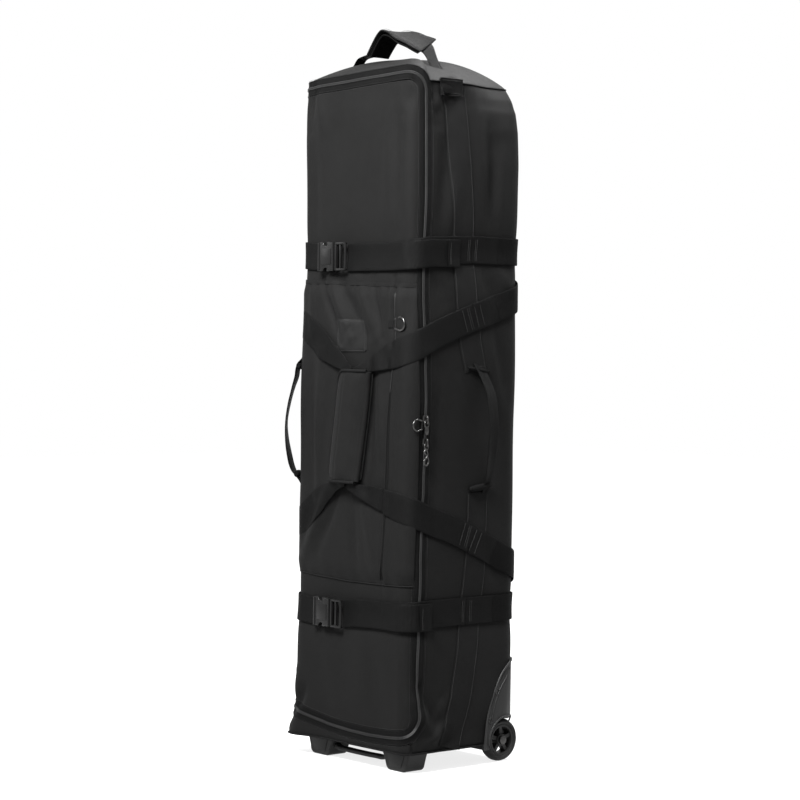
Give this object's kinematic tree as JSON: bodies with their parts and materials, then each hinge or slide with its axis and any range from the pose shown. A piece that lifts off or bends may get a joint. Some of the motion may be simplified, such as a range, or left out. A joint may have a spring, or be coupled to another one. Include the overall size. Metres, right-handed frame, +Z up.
{
  "type": "golf travel case",
  "caption": "Upright soft-sided golf travel case with a zipped front door, webbing straps and carry loops, padded grip, top and side handles, rear wheels and front feet.",
  "frame": {"origin": "middle of the footprint, on the floor", "axes": "+Z up along the case, -Y towards the front door, +X towards the zipped edge"},
  "size_m": [0.4022, 0.315, 1.3708],
  "materials": {
    "shell_fabric": "woven polyester, matt with a faint sheen",
    "webbing": "ribbed webbing, matt",
    "lining": "smooth lining, matt",
    "padding": "padded, matt",
    "moulding": "fine grained",
    "buckle": "glossy",
    "patch": "satin",
    "tyre": "satin",
    "hardware": "dark plated, semi-gloss"
  },
  "bodies": {
    "shell": {"back_panel": "shell_fabric", "side_panel_right": "shell_fabric", "side_panel_left": "shell_fabric", "top_panel": "shell_fabric", "base_tray": "shell_fabric", "back_stiffener": "lining", "head_pad": "padding", "zip_tape_shell": "webbing", "upper_strap_back": "webbing", "lower_strap_back": "webbing", "carry_loop_back_upper": "webbing", "carry_loop_back_lower": "webbing", "side_band_upper_right": "webbing", "side_band_lower_right": "webbing", "side_band_left": "webbing", "wheel_housing_right": "moulding", "wheel_housing_left": "moulding", "housing_screw_upper_right": "hardware", "housing_screw_upper_left": "hardware", "housing_screw_lower_right": "hardware", "housing_screw_lower_left": "hardware", "axle_right": "hardware", "axle_left": "hardware", "foot_right": "moulding", "foot_left": "moulding", "grab_bar": "moulding"},
    "door": {"door_panel": "shell_fabric", "zip_tape_door": "webbing", "pocket_panel": "shell_fabric", "pocket_zip": "webbing", "label_patch": "patch", "upper_strap_left": "webbing", "lower_strap_left": "webbing", "upper_buckle_socket": "buckle", "lower_buckle_socket": "buckle", "carry_loop_left": "webbing", "grip_pad": "shell_fabric", "zip_ring_tab": "webbing", "pocket_ring_tab": "webbing"},
    "upper_strap": {"upper_strap_right": "webbing", "upper_buckle_plug": "buckle"},
    "lower_strap": {"lower_strap_right": "webbing", "lower_buckle_plug": "buckle"},
    "right_loop": {"carry_loop_right": "webbing"},
    "flap": {"grip_flap": "shell_fabric"},
    "wheel_r": {"wheel_tyre_right": "tyre", "wheel_hub_right": "moulding"},
    "wheel_l": {"wheel_tyre_left": "tyre", "wheel_hub_left": "moulding"},
    "slider_u": {"zip_slider_upper": "hardware"},
    "slider_l": {"zip_slider_lower": "hardware"},
    "pull_u": {"zip_pull_upper": "hardware"},
    "pull_l": {"zip_pull_lower": "hardware"},
    "ring_z": {"zip_ring": "hardware"},
    "ring_p": {"pocket_ring": "hardware"},
    "top_grip": {"top_handle_webbing": "webbing", "top_handle_grip": "shell_fabric"},
    "handle_r": {"side_handle_right": "webbing"},
    "handle_l": {"side_handle_left": "webbing"}
  },
  "joints": [
    {"name": "door_hinge", "type": "hinge", "parent": "shell", "child": "door", "pos_m": [-0.1605, -0.1005, 0.65], "axis": [0, 0, -1], "range_deg": [0, 100], "deforming": ["upper_strap_left", "lower_strap_left", "carry_loop_left"]},
    {"name": "upper_strap_swing", "type": "hinge", "parent": "shell", "child": "upper_strap", "pos_m": [0.163, -0.0965, 0.94], "axis": [0, 0, 1], "range_deg": [0, 215], "deforming": ["upper_strap_right"]},
    {"name": "lower_strap_swing", "type": "hinge", "parent": "shell", "child": "lower_strap", "pos_m": [0.163, -0.0965, 0.285], "axis": [0, 0, 1], "range_deg": [0, 215], "deforming": ["lower_strap_right"]},
    {"name": "right_loop_swing", "type": "hinge", "parent": "shell", "child": "right_loop", "pos_m": [0.163, -0.0965, 0.625], "axis": [0, 0, 1], "range_deg": [0, 167], "deforming": ["carry_loop_right"]},
    {"name": "grip_flap_hinge", "type": "hinge", "parent": "door", "child": "flap", "pos_m": [0.045, -0.1425, 0.625], "axis": [0, 0, 1], "range_deg": [0, 90]},
    {"name": "slider_upper_slide", "type": "slide", "parent": "shell", "child": "slider_u", "axis": [0, 0, 1], "range_m": [0, 0.576]},
    {"name": "slider_lower_slide", "type": "slide", "parent": "shell", "child": "slider_l", "axis": [0, 0, -1], "range_m": [0, 0.506]},
    {"name": "pull_upper_flip", "type": "hinge", "parent": "slider_u", "child": "pull_u", "pos_m": [0.1664, -0.1005, 0.6383], "axis": [0, -1, 0], "range_deg": [0, 150]},
    {"name": "pull_lower_flip", "type": "hinge", "parent": "slider_l", "child": "pull_l", "pos_m": [0.1664, -0.1005, 0.5973], "axis": [0, -1, 0], "range_deg": [0, 150]},
    {"name": "zip_ring_swing", "type": "hinge", "parent": "door", "child": "ring_z", "pos_m": [0.1639, -0.1088, 0.632], "axis": [0, 0, 1], "range_deg": [0, 110]},
    {"name": "pocket_ring_swing", "type": "hinge", "parent": "door", "child": "ring_p", "pos_m": [0.1172, -0.1423, 0.812], "axis": [0, 0, -1], "range_deg": [0, 165]},
    {"name": "top_handle_fold", "type": "hinge", "parent": "shell", "child": "top_grip", "pos_m": [0, -0.0375, 1.25], "axis": [1, 0, 0], "range_deg": [-30, 30], "deforming": ["top_handle_webbing"]},
    {"name": "side_handle_right_swing", "type": "hinge", "parent": "shell", "child": "handle_r", "pos_m": [0.164, 0.0375, 0.621], "axis": [0, 0, 1], "range_deg": [-25, 25]},
    {"name": "side_handle_left_swing", "type": "hinge", "parent": "door", "child": "handle_l", "pos_m": [-0.1587, -0.1226, 0.63], "axis": [0, 0, 1], "range_deg": [-25, 25]},
    {"name": "wheel_right_spin", "type": "hinge", "parent": "shell", "child": "wheel_r", "pos_m": [0.137, 0.1175, 0.04], "axis": [1, 0, 0], "continuous": true},
    {"name": "wheel_left_spin", "type": "hinge", "parent": "shell", "child": "wheel_l", "pos_m": [-0.137, 0.1175, 0.04], "axis": [1, 0, 0], "continuous": true}
  ],
  "couplings": [
    {"joint": "upper_strap_swing", "follows": "door_hinge", "ratio": 2.15},
    {"joint": "lower_strap_swing", "follows": "door_hinge", "ratio": 2.15},
    {"joint": "right_loop_swing", "follows": "door_hinge", "ratio": 1.67},
    {"joint": "grip_flap_hinge", "follows": "door_hinge", "ratio": 0.9},
    {"joint": "slider_upper_slide", "follows": "door_hinge", "m_per_rad": 0.33},
    {"joint": "slider_lower_slide", "follows": "door_hinge", "m_per_rad": 0.288}
  ]
}
